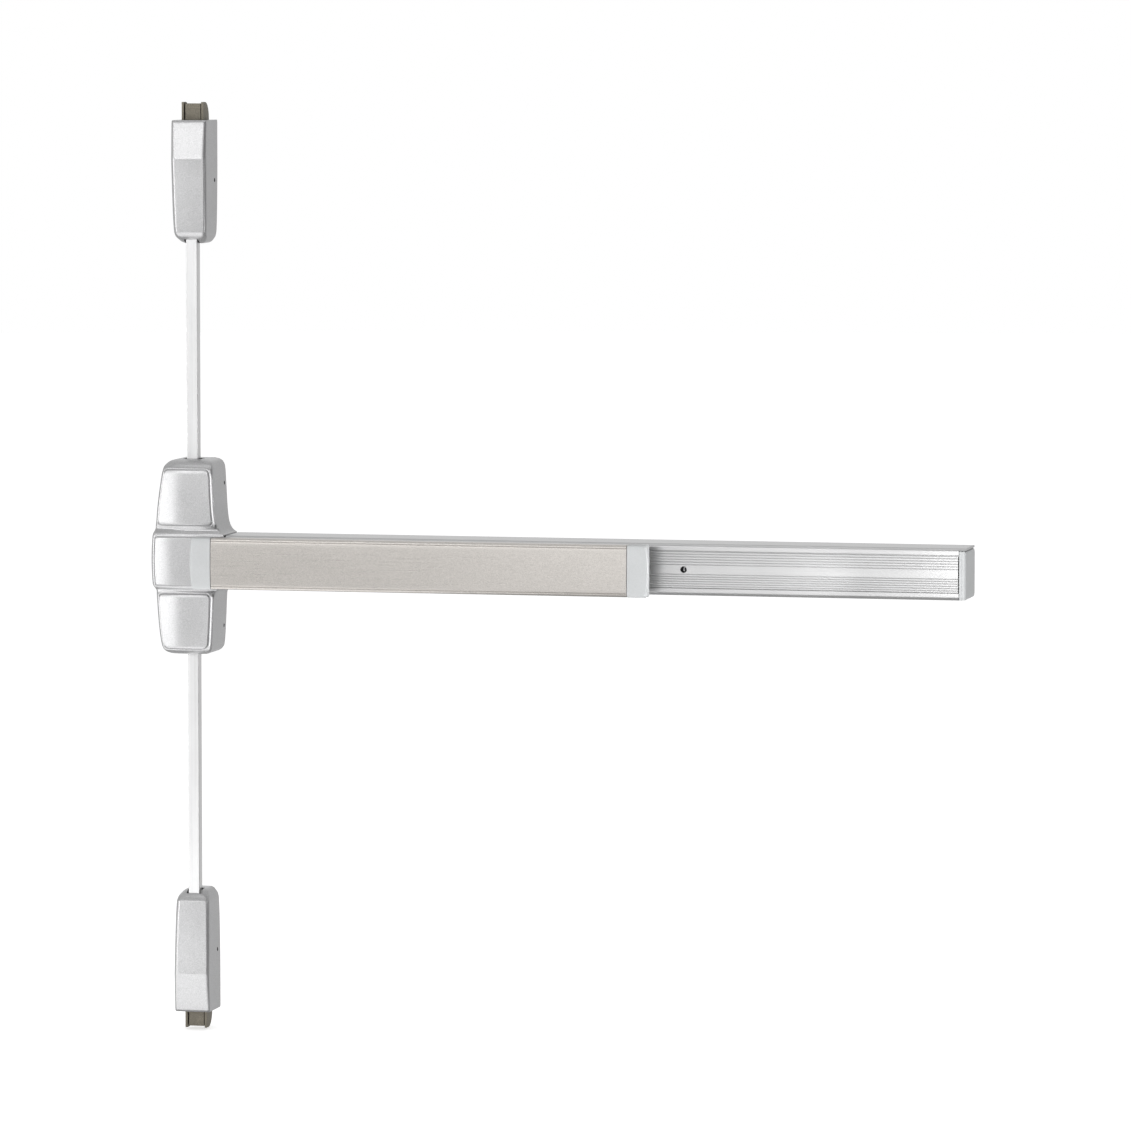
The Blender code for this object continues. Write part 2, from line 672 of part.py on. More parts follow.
def link_bar():
    """The flat bar that carries the pad's motion to the centre case. Its pins work in the cranks' forks."""
    depths = (LINK_DEPTH - 1.5, LINK_DEPTH + 1.5)
    pin_x = POST_X + LINK_HALF_TRAVEL
    obj = box("link_bar", (20.0, 485.0), depths, (-7.0, 7.0), "zinc_steel")
    head = box("link_bar_head", (pin_x - 4.5, 24.0), depths, (-10.5, 10.5))
    fuse(obj, head)
    for index, x in enumerate(CRANK_XS, 1):
        place = x + LINK_HALF_TRAVEL
        cut(obj, box(f"cut_link_window_{index}", (place - 9.0, place + 9.0), (0.0, 30.0), (-3.0, 3.0)))
    for index, x in enumerate(CRANK_XS, 1):
        centre = (x + LINK_HALF_TRAVEL, -LINK_DEPTH)
        fuse(obj, cylinder(f"link_window_pin_{index}", "Z", centre, 1.3, -4.0, 4.0, sides=16))
    for index, sign in enumerate((1, -1), 1):
        centre = (pin_x, sign * (POST_Z - CENTRE_IN))
        fuse(obj, cylinder(f"link_head_pin_{index}", "Y", centre, 1.8, -LINK_DEPTH, -19.6, sides=20))
    return obj


def return_spring():
    """A coil of wire between the link bar's end and its anchor."""
    start = SPRING_START + SPRING_WIRE
    pitch = (SPRING_END - SPRING_WIRE - start) / SPRING_TURNS
    points = []
    for i in range(SPRING_TURNS * SPRING_STEPS + 1):
        turns = i / SPRING_STEPS
        angle = 2 * math.pi * turns
        rise = Vector((0.0, math.cos(angle), math.sin(angle))) * SPRING_RADIUS
        points.append(Vector((start + pitch * turns, -LINK_DEPTH, 0.0)) + rise)
    curve = drawn_curve("return_spring", points, "3D", False)
    curve.bevel_depth = SPRING_WIRE * MM
    curve.bevel_resolution = 2
    curve.use_fill_caps = True
    return add_object("return_spring", curve, "spring_steel")


def spring_anchor():
    outline = [(531.0, -2.8), (531.0, -19.5), (533.5, -19.5), (533.5, -5.3), (545.0, -5.3), (545.0, -2.8)]
    return plate("spring_anchor", outline, "Z", -8.0, 8.0, "zinc_steel")


# Dogging.


def dogging_bracket():
    outline = [(553.0, -2.8), (590.0, -2.8), (590.0, -15.0), (556.0, -15.0), (556.0, -12.5), (587.5, -12.5)]
    outline += [(587.5, -5.3), (553.0, -5.3)]
    obj = plate("dogging_bracket", outline, "Z", -10.0, 10.0, "zinc_steel")
    return cut(obj, cylinder("cut_dogging_bracket", "Y", (DOG_X, 0.0), 4.1, -10.0, -17.0))


def dogging_shaft():
    centre = (DOG_X, 0.0)
    obj = cylinder("dogging_shaft", "Y", centre, 4.0, -7.0, -44.0, "screw_steel")
    head = cylinder("dogging_shaft_head", "Y", centre, 6.0, -42.0, -50.0)
    collar = cylinder("dogging_shaft_collar", "Y", centre, 5.6, -15.4, -18.0)
    socket = cylinder("cut_hex_socket", "Y", centre, 3.7, -43.0, -52.0, sides=6)
    return cut(fuse(obj, head, collar), socket)


def dogging_hook():
    """A flat finger on the shaft. It points up at rest and swings over the catch."""
    outline = [(DOG_X - 4.5, 14.0), (DOG_X + 4.5, 14.0)]
    for i in range(13):
        angle = math.radians(30 - 20 * i)
        outline.append((DOG_X + 7.0 * math.cos(angle), 7.0 * math.sin(angle)))
    obj = plate("dogging_hook", outline, "Y", -24.6, -27.6, "zinc_steel")
    return cut(obj, cylinder("cut_hook_hole", "Y", (DOG_X, 0.0), 4.3, -23.0, -29.0))


def build_centre():
    centre_baseplate()
    centre_cover()
    for index, (z, sign) in enumerate(CENTRE_SCREWS, 1):
        centre_screw(index, z, sign)
    for side, sign in (("upper", 1), ("lower", -1)):
        crank_post(f"{side}_crank_post", sign)
        crank = centre_crank(f"{side}_centre_crank", sign)
        moving(f"{side}_centre_crank_axis", (POST_X, 0.0, sign * POST_Z), [crank])


def build_rods():
    """Each rod moves with its connector and its latch's bolt."""
    ends = (("upper", "top", TOP_LATCH_Z, 1), ("lower", "bottom", BOTTOM_LATCH_Z, -1))
    for side, latch, end, sign in ends:
        pieces = [
            rod(f"{side}_rod", sign * 46.4, end - sign * 25.4),
            rod_connector(f"{side}_rod_connector", sign),
            latch_bolt(f"{latch}_bolt", end + sign * BOLT_OUT, sign),
        ]
        moving(f"{side}_rod_axis", (0.0, -ROD_DEPTH, 0.0), pieces)


def build_latches():
    for side, end, sign in (("top", TOP_LATCH_Z, 1), ("bottom", BOTTOM_LATCH_Z, -1)):
        latch_base(f"{side}_latch_base", end, sign)
        latch_cover(f"{side}_latch_cover", end, sign)
        latch_screw(f"{side}_latch_screw_right", end, sign, 1)
        latch_screw(f"{side}_latch_screw_left", end, sign, -1)


def build_case():
    mechanism_case()
    fluted_cover()
    end_cap()
    end_bracket()


def build_pad():
    """The pad's skin and all that moves in with it."""
    pieces = [
        push_pad(),
        pad_cap("pad_cap_left", PAD_START - 0.3, CAP_LEFT_END),
        pad_cap("pad_cap_right", PAD_END + 0.3, CAP_RIGHT_END),
        pad_carrier(),
        dogging_catch(),
    ]
    for side, x in zip(("left", "right"), CRANK_XS):
        pieces.append(pad_link_bracket(f"pad_link_bracket_{side}", x + CRANK_IN))
        pieces.append(pad_link_pin(f"pad_link_pin_{side}", x + CRANK_IN))
    moving("pad_axis", (PAD_START, -PAD_OUT, 0.0), pieces)


def build_linkage():
    for side, x in zip(("left", "right"), CRANK_XS):
        crank_bracket(f"crank_bracket_{side}", x)
        crank_pin(f"crank_pin_{side}", x)
        moving(f"bell_crank_{side}_axis", (x, -CRANK_DEPTH, 0.0), [bell_crank(f"bell_crank_{side}", x)])
    moving("link_axis", (0.0, -LINK_DEPTH, 0.0), [link_bar()])
    return_spring()
    spring_anchor()


def build_dogging():
    dogging_bracket()
    moving("dogging_axis", (DOG_X, 0.0, 0.0), [dogging_shaft(), dogging_hook()])


clear_scene()
PARTS = new_collection("panic_exit_bar")
CUTTERS = new_collection("cutters")
CUTTERS.hide_render = True
build_centre()
build_rods()
build_latches()
build_case()
build_pad()
build_linkage()
build_dogging()
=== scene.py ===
"""Looks for the panic exit bar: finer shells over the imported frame, and procedural metal finishes.

Metres, in the CAD's frame: +X along the bar, +Y into the door, +Z up. Lengths inside the helper functions are
millimetres, and MM turns them into metres. "Depth" is the distance out from the door.
"""
import bisect
import math

import bmesh
import bpy
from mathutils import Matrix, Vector


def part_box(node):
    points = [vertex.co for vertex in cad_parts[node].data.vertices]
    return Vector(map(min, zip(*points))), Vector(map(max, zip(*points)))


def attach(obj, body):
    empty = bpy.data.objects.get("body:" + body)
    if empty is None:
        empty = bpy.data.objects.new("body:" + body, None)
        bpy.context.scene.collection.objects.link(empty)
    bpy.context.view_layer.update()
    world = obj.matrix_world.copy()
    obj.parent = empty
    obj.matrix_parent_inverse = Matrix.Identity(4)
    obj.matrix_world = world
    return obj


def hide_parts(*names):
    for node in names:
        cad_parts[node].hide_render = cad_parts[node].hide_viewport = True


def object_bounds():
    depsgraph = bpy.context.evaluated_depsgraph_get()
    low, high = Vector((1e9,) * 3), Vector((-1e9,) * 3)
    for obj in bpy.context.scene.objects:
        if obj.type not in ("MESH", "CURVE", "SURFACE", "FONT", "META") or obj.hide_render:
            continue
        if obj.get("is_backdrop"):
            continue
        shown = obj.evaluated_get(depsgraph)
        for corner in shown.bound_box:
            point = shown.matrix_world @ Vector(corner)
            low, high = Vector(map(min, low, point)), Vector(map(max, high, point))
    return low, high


MM = 0.001
MICRON = 0.000001
WHITE = (1, 1, 1)
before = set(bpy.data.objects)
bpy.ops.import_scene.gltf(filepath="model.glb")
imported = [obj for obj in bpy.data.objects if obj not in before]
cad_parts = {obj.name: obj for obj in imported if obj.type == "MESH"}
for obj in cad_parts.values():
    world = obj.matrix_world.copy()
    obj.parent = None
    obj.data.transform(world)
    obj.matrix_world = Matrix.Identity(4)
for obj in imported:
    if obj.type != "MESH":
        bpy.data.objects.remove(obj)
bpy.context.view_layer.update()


# ---------------------------------------------------------------- materials

MIX_FACTOR = 0  # places of the colour sockets on a Mix node
MIX_FIRST = 6
MIX_SECOND = 7
MIX_RESULT = 2


class Finish:
    """A Principled material with small helpers for procedural detail in the object's own coordinates."""

    def __init__(self, name, roughness, metallic):
        self.material = bpy.data.materials.new(name)
        self.material.use_nodes = True
        self.tree = self.material.node_tree
        self.shader = self.tree.nodes["Principled BSDF"]
        self.shader.inputs["Roughness"].default_value = roughness
        self.shader.inputs["Metallic"].default_value = metallic
        self.coordinates = self.tree.nodes.new("ShaderNodeTexCoord").outputs["Object"]
        self.height = None

    def link(self, out, into):
        self.tree.links.new(out, into)

    def noise(self, stretch, detail=3.0, rough=0.55, distortion=0.0):
        """Noise whose cells are 1/stretch metres: one number, or one each for x, y and z."""
        mapping = self.tree.nodes.new("ShaderNodeMapping")
        mapping.inputs["Scale"].default_value = stretch if isinstance(stretch, tuple) else (stretch,) * 3
        self.link(self.coordinates, mapping.inputs["Vector"])
        node = self.tree.nodes.new("ShaderNodeTexNoise")
        node.inputs["Scale"].default_value = 1.0
        node.inputs["Detail"].default_value = detail
        node.inputs["Roughness"].default_value = rough
        node.inputs["Distortion"].default_value = distortion
        self.link(mapping.outputs["Vector"], node.inputs["Vector"])
        return node.outputs["Fac"]

    def two_tone(self, value, colour, low, high):
        """The colour at two strengths, blended across the middle of the noise's range."""
        node = self.tree.nodes.new("ShaderNodeValToRGB")
        for element, position, amount in zip(node.color_ramp.elements, (0.3, 0.7), (low, high)):
            element.position = position
            element.color = (*(min(1.0, part * amount) for part in colour), 1.0)
        self.link(value, node.inputs["Fac"])
        return node.outputs["Color"]

    def dimmed(self, base, value, low):
        """The base colour, down to this share of it where the noise is low."""
        shade_of_grey = self.two_tone(value, WHITE, low, 1.0)
        node = self.tree.nodes.new("ShaderNodeMix")
        node.data_type = "RGBA"
        node.blend_type = "MULTIPLY"
        node.inputs[MIX_FACTOR].default_value = 1.0
        self.link(base, node.inputs[MIX_FIRST])
        self.link(shade_of_grey, node.inputs[MIX_SECOND])
        return node.outputs[MIX_RESULT]

    def colour(self, source):
        self.link(source, self.shader.inputs["Base Color"])

    def roughness(self, value, low, high):
        """Roughness that follows the middle half of the noise's range."""
        node = self.tree.nodes.new("ShaderNodeMapRange")
        node.inputs["From Min"].default_value = 0.25
        node.inputs["From Max"].default_value = 0.75
        node.inputs["To Min"].default_value = low
        node.inputs["To Max"].default_value = high
        self.link(value, node.inputs["Value"])
        self.link(node.outputs["Result"], self.shader.inputs["Roughness"])

    def bump(self, value, microns, strength):
        """A bump layer, chained to the one before it."""
        node = self.tree.nodes.new("ShaderNodeBump")
        node.inputs["Strength"].default_value = strength
        node.inputs["Distance"].default_value = microns * MICRON
        self.link(value, node.inputs["Height"])
        if self.height:
            self.link(self.height, node.inputs["Normal"])
        self.height = node.outputs["Normal"]
        self.link(self.height, self.shader.inputs["Normal"])


def silver_paint():
    """Satin silver lacquer on a casting: metal flake, orange peel and soft handling marks."""
    f = Finish("silver_paint", 0.34, 0.78)
    flake = f.noise(950, 2.0, 0.7)
    cloud = f.noise(34)
    f.colour(f.dimmed(f.two_tone(flake, (0.46, 0.46, 0.4645), 0.83, 1.17), cloud, 0.95))
    f.roughness(f.noise(420), 0.32, 0.36)
    f.bump(f.noise(320, 2.0), 3, 0.4)
    f.bump(flake, 0.6, 0.5)
    return f.material


def brushed(name, colour, along, spread):
    """Satin metal with fine lines along one axis, and slow colour change between them."""
    f = Finish(name, 0.32, 0.8)
    fine = [2600.0] * 3
    wide = [420.0] * 3
    fine[along] = 14.0
    wide[along] = 5.0
    lines = f.noise(tuple(fine), 4.0, 0.65)
    bands = f.noise(tuple(wide))
    cloud = f.noise(22)
    base = f.dimmed(f.two_tone(lines, colour, 1 - spread, 1 + spread), bands, 0.93)
    f.colour(f.dimmed(base, cloud, 0.95))
    f.roughness(bands, 0.28, 0.36)
    f.bump(lines, 2, 0.5)
    return f.material


def cap_grey():
    """Painted or moulded cap: a fine leathery grain."""
    f = Finish("cap_grey", 0.44, 0.0)
    grain = f.noise(900, 3.0, 0.6)
    cloud = f.noise(40, 2.0)
    f.colour(f.dimmed(f.two_tone(grain, (0.455, 0.465, 0.47), 0.95, 1.04), cloud, 0.96))
    f.roughness(grain, 0.38, 0.5)
    f.bump(grain, 12, 0.5)
    return f.material


def bolt_steel():
    """Sintered or cast bolt steel: brown-grey and pitted."""
    f = Finish("bolt_steel", 0.5, 0.45)
    grain = f.noise(1100, 4.0, 0.7)
    blotch = f.noise(120, 4.0, 0.6)
    f.colour(f.dimmed(f.two_tone(grain, (0.205, 0.185, 0.145), 0.6, 1.4), blotch, 0.7))
    f.roughness(blotch, 0.38, 0.62)
    f.bump(grain, 40, 0.7)
    return f.material


def zinc_steel():
    """Zinc-plated pressing: pale, faintly spangled and streaked."""
    f = Finish("zinc_steel", 0.36, 0.95)
    spangle = f.noise(300, 2.0, 0.4, 0.8)
    streak = f.noise((60, 60, 900))
    f.colour(f.dimmed(f.two_tone(spangle, (0.56, 0.57, 0.585), 0.88, 1.08), streak, 0.93))
    f.roughness(spangle, 0.28, 0.46)
    f.bump(streak, 20, 0.5)
    return f.material


def grainy_steel(name, colour, low, high):
    """Bare or blackened steel with an even grain, or near-black painted shade for cut faces. Low and high are
    its roughness.
    """
    f = Finish(name, (low + high) / 2, 1.0)
    grain = f.noise(700, 3.0, 0.6)
    f.colour(f.two_tone(grain, colour, 0.85, 1.12))
    f.roughness(grain, low, high)
    f.bump(grain, 30, 0.5)
    return f.material


def pad_steel():
    """Warm satin stainless: short brush marks along the bar and a fine even grain."""
    f = Finish("pad_steel", 0.29, 0.8)
    grain = f.noise((900, 1100, 1100), 3.0, 0.7)
    lines = f.noise((18, 1500, 1500), 3.0, 0.6)
    cloud = f.noise((14, 22, 22))
    base = f.dimmed(f.two_tone(grain, (0.485, 0.462, 0.437), 0.81, 1.19), lines, 0.975)
    f.colour(f.dimmed(base, cloud, 0.96))
    f.roughness(lines, 0.26, 0.32)
    f.bump(lines, 0.8, 0.5)
    f.bump(grain, 1, 0.5)
    return f.material


ALONG_X = 0
ALONG_Z = 2
MATERIALS = {
    "silver_paint": silver_paint(),
    "pad_steel": pad_steel(),
    "case_alloy": brushed("case_alloy", (0.49, 0.49, 0.492), ALONG_X, 0.06),
    "cap_grey": cap_grey(),
    "rod_steel": brushed("rod_steel", (0.69, 0.69, 0.692), ALONG_Z, 0.04),
    "bolt_steel": bolt_steel(),
    "zinc_steel": zinc_steel(),
    "spring_steel": grainy_steel("spring_steel", (0.30, 0.30, 0.32), 0.25, 0.4),
    "screw_steel": grainy_steel("screw_steel", (0.10, 0.10, 0.105), 0.3, 0.45),
    # painted shade: near-black, put on the cut faces of slots, mouths, screw holes and cavities, and on the
    # seam ring, for the shade in these recesses
    "painted_shade": grainy_steel("painted_shade", (0.035, 0.035, 0.036), 0.6, 0.75),
}


def paint_nodes():
    """Gives each CAD node the procedural material of its slot, and plain zinc where it has none."""
    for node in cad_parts.values():
        slots = node.data.materials
        name = slots[0].name.split(".")[0] if slots else "zinc_steel"
        slots.clear()
        slots.append(MATERIALS.get(name, MATERIALS["zinc_steel"]))


# ---------------------------------------------------------------- mesh helpers

def clamp(value):
    return max(0.0, min(1.0, value))


def smooth_curve(table):
    """A monotone curve through (t, value) rows: no overshoot between rows."""
    rows = sorted(table)
    ts = [r[0] for r in rows]
    vs = [r[1] for r in rows]
    slopes = [(vs[i + 1] - vs[i]) / (ts[i + 1] - ts[i]) for i in range(len(rows) - 1)]
    tangents = [slopes[0]]
    for before, after in zip(slopes, slopes[1:]):
        tangents.append(0.0 if before * after <= 0 else 2 * before * after / (before + after))
    tangents.append(slopes[-1])

    def value(t):
        if t <= ts[0]:
            return vs[0]
        if t >= ts[-1]:
            return vs[-1]
        i = bisect.bisect_right(ts, t) - 1
        width = ts[i + 1] - ts[i]
        s = (t - ts[i]) / width
        a = (1 + 2 * s) * (1 - s) ** 2 * vs[i] + s * s * (3 - 2 * s) * vs[i + 1]
        return a + width * (s * (1 - s) ** 2 * tangents[i] - s * s * (1 - s) * tangents[i + 1])

    return value


def mesh_object(name, points, faces, slot):
    """A mesh from millimetre points, with its normals turned out."""
    mesh = bpy.data.meshes.new(name)
    mesh.from_pydata([Vector(p) * MM for p in points], [], faces)
    work = bmesh.new()
    work.from_mesh(mesh)
    bmesh.ops.recalc_face_normals(work, faces=work.faces)
    work.to_mesh(mesh)
    work.free()
    obj = bpy.data.objects.new(name, mesh)
    bpy.context.scene.collection.objects.link(obj)
    if slot:
        mesh.materials.append(MATERIALS[slot])
    return obj


def loft(name, rings, slot=None):
    """A closed body through rings with the same number of points."""
    count = len(rings[0])
    points = [p for ring in rings for p in ring]
    faces = []
    for level in range(len(rings) - 1):
        low = level * count
        for i in range(count):
            j = (i + 1) % count
            faces.append((low + i, low + j, low + count + j, low + count + i))
    last = (len(rings) - 1) * count
    faces.append(tuple(range(count)))
    faces.append(tuple(range(last, last + count)))
    return mesh_object(name, points, faces, slot)


def prism(name, outline, axis, start, end, slot=None):
    """An outline swept along an axis. Outline pairs: X gives (y, z), Y gives (x, z), Z gives (x, y)."""
    point = {
        "X": lambda a, b, t: (t, a, b),
        "Y": lambda a, b, t: (a, t, b),
        "Z": lambda a, b, t: (a, b, t),
    }[axis]
    return loft(name, [[point(a, b, t) for a, b in outline] for t in (start, end)], slot)


def block(name, xs, depths, zs, slot=None):
    outline = [(xs[0], zs[0]), (xs[1], zs[0]), (xs[1], zs[1]), (xs[0], zs[1])]
    return prism(name, outline, "Y", -depths[0], -depths[1], slot)


def arc(centre, radius, start, end, steps):
    """Points on an arc, angles in degrees."""
    angles = [math.radians(start + (end - start) * i / steps) for i in range(steps + 1)]
    return [(centre[0] + radius * math.cos(a), centre[1] + radius * math.sin(a)) for a in angles]


def circle(centre, radius, count=32):
    return arc(centre, radius, 0, 360, count)[:-1]


def mirrored(upper):
    """A section's upper half, closed by its own mirror image below."""
    return upper + [(y, -z) for y, z in reversed(upper)]


def settle(obj):
    """Applies the object's modifiers."""
    bpy.context.view_layer.update()
    shaped = bpy.data.meshes.new_from_object(obj.evaluated_get(bpy.context.evaluated_depsgraph_get()))
    old = obj.data
    obj.modifiers.clear()
    obj.data = shaped
    shaped.name = obj.name
    bpy.data.meshes.remove(old)


def cut(obj, tools):
    """Takes the tools out of the object one by one. A cut face keeps its tool's material, so a tool with the
    painted-shade material paints shade on its cut faces.
    """
    for tool in tools:
        modifier = obj.modifiers.new("Cut", "BOOLEAN")
        modifier.operation = "DIFFERENCE"
        modifier.object = tool
        modifier.solver = "EXACT"
        modifier.material_mode = "TRANSFER"
        settle(obj)
        bpy.data.objects.remove(tool)


def bevel(obj, width, segments, angle):
    modifier = obj.modifiers.new("Bevel", "BEVEL")
    modifier.width = width * MM
    modifier.segments = segments
    modifier.limit_method = "ANGLE"
    modifier.angle_limit = math.radians(angle)
    modifier.use_clamp_overlap = True
    settle(obj)


def shade(obj, angle=32):
    """Smooth shading that stays sharp at real edges."""
    for polygon in obj.data.polygons:
        polygon.use_smooth = True
    work = bmesh.new()
    work.from_mesh(obj.data)
    limit = math.radians(angle)
    for edge in work.edges:
        if len(edge.link_faces) == 2 and edge.calc_face_angle(0) > limit:
            edge.smooth = False
    work.to_mesh(obj.data)
    work.free()
    weighted = obj.modifiers.new("Normals", "WEIGHTED_NORMAL")
    weighted.keep_sharp = True
    weighted.weight = 90
    settle(obj)


def place(obj, body, slot, *replaced):
    shade(obj)
    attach(obj, body)
    if replaced:
        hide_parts(*replaced)


def rows_between(marks, coarse, fine, reach):
    """Rows from the first mark to the last: fine steps within reach of a mark, coarse steps elsewhere."""
    rows = set()
    low, high = min(marks), max(marks)
    t = low
    while t < high:
        rows.add(round(t, 3))
        near = min(abs(t - m) for m in marks)
        t += fine if near < reach else coarse
    rows.add(high)
    return sorted(rows)


# ---------------------------------------------------------------- covers

SHADOW_WIDTH = 0.9  # the groove round a raised field
SHADOW_DEPTH = 0.75
RISE_WIDTH = 1.1
FIELD_HEIGHT = 0.5
RIM_WIDTH = 2.4  # the bright rim along a field's right edge
RIM_SLOPE = 0.30
RIM_START = 3.9
FALL = 0.145  # slope of a face to the left of its ridge
EASE = 8.0  # how softly the ridge turns
RIGHT_BEND = 0.5 * 0.105
CAST_ROUND = 3.4
CAST_WALL = 2.5
BACK_INSET = 0.5
CUT_BACK = -2.0  # a cavity's cutter starts this far behind the door face
ROD_SLOT = 20.0
SCREW_SIDES = 20


class Panel:
    """A raised field on a cover's face, with a shadow groove round it. Lengths in millimetres."""

    def __init__(self, low, high, corner, inset, right_inset=None):
        self.half = (high - low) / 2
        self.middle = (high + low) / 2
        self.corner = corner
        self.inset = inset
        self.right_inset = right_inset

    def inside(self, x, z, left, right):
        """Signed distance in from the field's outline."""
        dz = self.half - abs(z - self.middle)
        dx = x - left - self.inset
        if self.right_inset is not None:
            dx = min(dx, right - self.right_inset - x)
        if dx > self.corner or dz > self.corner:
            return min(dx, dz)
        if dx < 0 and dz < 0:
            return -math.hypot(dx, dz)
        return self.corner - math.hypot(self.corner - dx, self.corner - dz)


# The centre case's outlines by height: its left edge, its right edge and its depth
CENTRE_LEFT = smooth_curve([
    (-106, -19), (-104.6, -24), (-102, -28), (-98, -30.6), (-88, -33), (-66, -35.5), (-40, -37.4),
    (-34.5, -38.0), (-31, -39.6), (-26, -41.4), (0, -42.4), (26, -41.4), (31, -40.2), (35, -39), (45, -37.4),
    (56, -36.4), (84, -32.8), (98, -30.4), (104, -28.8), (108, -26), (110.6, -22.5), (112, -17)])
CENTRE_RIGHT = smooth_curve([
    (-106, 16), (-104.6, 20.5), (-102, 24), (-98, 26.4), (-88, 27.6), (-66, 28.8), (-40, 30), (-36, 31),
    (-33, 33.6), (-30.4, 38), (-29, 41.6), (28.9, 41.6), (29.8, 40.0), (31.5, 37.8), (34, 35.6), (38, 33.6),
    (43, 32.3), (56, 30.8), (84, 29.3), (98, 28.5), (104, 27.6), (108, 25.6), (110.6, 22), (112, 16.5)])
CENTRE_DEPTH = smooth_curve([
    (-106, 40), (-105, 47), (-102.5, 53), (-99.5, 56), (-96, 57.2), (-66, 57.8), (-42, 57.8), (-36, 56.6),
    (-33.4, 55.8), (-30.6, 58), (-27, 59.4), (0, 60), (26, 59.4), (30, 58.6), (33, 56.2), (35, 55.8),
    (38, 57), (43, 57.8), (60, 58), (96, 57.2), (101, 56.4), (105, 54.2), (108.5, 50), (110.8, 45),
    (112, 39)])
CENTRE_FIELDS = [
    Panel(39.0, 101.5, 5.0, 2.9, 4.4),
    Panel(-28.6, 26.2, 3.0, 3.6),
    Panel(-99.5, -37.5, 6.0, 2.9, 4.4),
]
CENTRE_MARKS = [-106, -99.5, -37.5, -33.4, -28.6, 26.2, 29, 33.5, 39, 101.5, 112]
CENTRE_CORE = (-103.5, -98, -66, -40, -33, -26, 0, 26, 33, 40, 84, 100, 106, 109.5)
CENTRE_ROD_SLOT = (ROD_SLOT, 38.5)
FIELD_NEAR = 37.5  # the tapered fields' ends, from the bar's centreline
FIELD_FAR = 99.0
BLOCK_HALF = 29.0
BEHIND_PAD = 57.2  # greatest depth where the pad's end comes over the case


def relief(distance):
    """How far the face stands out at a signed distance in from a field's outline."""
    if distance < -SHADOW_WIDTH:
        return 0.0
    if distance < 0.0:
        return -SHADOW_DEPTH * (1 + distance / SHADOW_WIDTH)
    if distance < RISE_WIDTH:
        return -SHADOW_DEPTH + (SHADOW_DEPTH + FIELD_HEIGHT) * math.sin(distance / RISE_WIDTH * math.pi / 2)
    return FIELD_HEIGHT


def folded_face(depth, right, ridge):
    """Depth across a face: a flat fall to the left of a soft ridge, and a rounding fall to its right."""
    bend = RIGHT_BEND / (right - ridge)

    def face(x):
        before = ridge - x
        drop = FALL * 0.5 * (before + math.hypot(before, EASE)) - FALL * 0.5 * EASE * 0.6
        return depth - drop - bend * max(0.0, -before) ** 2

    return face


def rimmed(face, start, share):
    """The face with a narrow rim along its right edge, which leans to the left."""
    def with_rim(x):
        return face(x) + RIM_SLOPE * share * max(0.0, min(x - start, RIM_WIDTH))

    return with_rim


def side_wall(edge, sign, radius, face, back):
    """(x, depth) points up a side and round its front edge. Sign is 1 on the left and -1 on the right."""
    ledge = face(edge + sign * radius) - radius
    points = [(edge, back + (ledge - back) * s) for s in (0.0, 0.08, 0.5, 0.92)]
    for i in range(9):
        a = math.pi / 2 * i / 8
        points.append((edge + sign * radius * (1 - math.cos(a)), ledge + radius * math.sin(a)))
    return points


def cover_section(left, right, face, left_round, right_round, back, z, panels):
    """(x, depth) points from back left over the face to back right, closest near the two edges."""
    near = [0.35 * i for i in range(1, 21)]
    left_face = [left + left_round + d for d in near]
    right_face = [right - right_round - d for d in near]
    low, high = left_face[-1], right_face[-1]
    middle = [low + (high - low) * i / 25 for i in range(1, 25)]
    points = []
    for x in left_face + middle + right_face[::-1]:
        out = max([relief(p.inside(x, z, left, right)) for p in panels], key=abs, default=0.0)
        points.append((x, face(x) + out))
    left_side = side_wall(left, 1, left_round, face, back)
    right_side = side_wall(right, -1, right_round, face, back)
    return left_side + points + right_side[::-1]


def centre_ring(z):
    """The centre case's outside at one height, flattened where the pad's end comes over it."""
    left, right, height = CENTRE_LEFT(z), CENTRE_RIGHT(z), abs(z)
    in_block = clamp(1 - (height - BLOCK_HALF) / 8.0)
    rim = clamp(min((height - FIELD_NEAR) / 3.0, (FIELD_FAR - height) / 4.0))
    ridge = -13.0 - 10.0 * clamp((36.0 - height) / 6.0)
    face = rimmed(folded_face(CENTRE_DEPTH(z), right, ridge), right - RIM_START, rim)
    right_round = CAST_ROUND - 1.8 * rim - 2.6 * in_block
    section = cover_section(left, right, face, CAST_ROUND, right_round, BACK_INSET, z, CENTRE_FIELDS)
    limit = BEHIND_PAD - 0.3 * max(0.0, height - 25.0)
    ring = []
    for x, depth in section:
        share = clamp((x - 4.0) / 38.0) * in_block
        ring.append((x, -(depth - max(0.0, depth - limit) * share), z))
    return ring


def centre_core_ring(z):
    """The centre case's cavity at one height."""
    left, right = CENTRE_LEFT(z), CENTRE_RIGHT(z)
    face = folded_face(CENTRE_DEPTH(z) - 3.0, right, -15.0)
    section = cover_section(left + CAST_WALL, right - CAST_WALL, face, 3.0, 3.0, CUT_BACK, z, [])
    return [(x, -depth, z) for x, depth in section]


def centre_cover():
    """The centre case: two tapered fields over and under a raised block that meets the bar."""
    rings = [centre_ring(z) for z in rows_between(CENTRE_MARKS, 3.0, 0.45, 6.0)]
    shell = loft("cover_centre", rings, "silver_paint")
    # cutters with the painted-shade material paint near-black shade into the cavity, the rod slots and the
    # screw holes
    tools = [
        loft("cut_inner", [centre_core_ring(z) for z in CENTRE_CORE], "painted_shade"),
        block("cut_upper", (-10.5, 10.5), CENTRE_ROD_SLOT, (98, 116), "painted_shade"),
        block("cut_lower", (-8, 8), CENTRE_ROD_SLOT, (-112, -96), "painted_shade"),
        block("cut_bar", (37, 44), (5, 51), (-22, 22)),
    ]
    for z in (84, -76):
        for side in (1, -1):
            hole = circle((-9, z), 2.1, SCREW_SIDES)
            tools.append(prism("cut_screw", hole, "X", side * 20, side * 44, "painted_shade"))
    cut(shell, tools)
    place(shell, "frame", "silver_paint", "centre_case_cover")


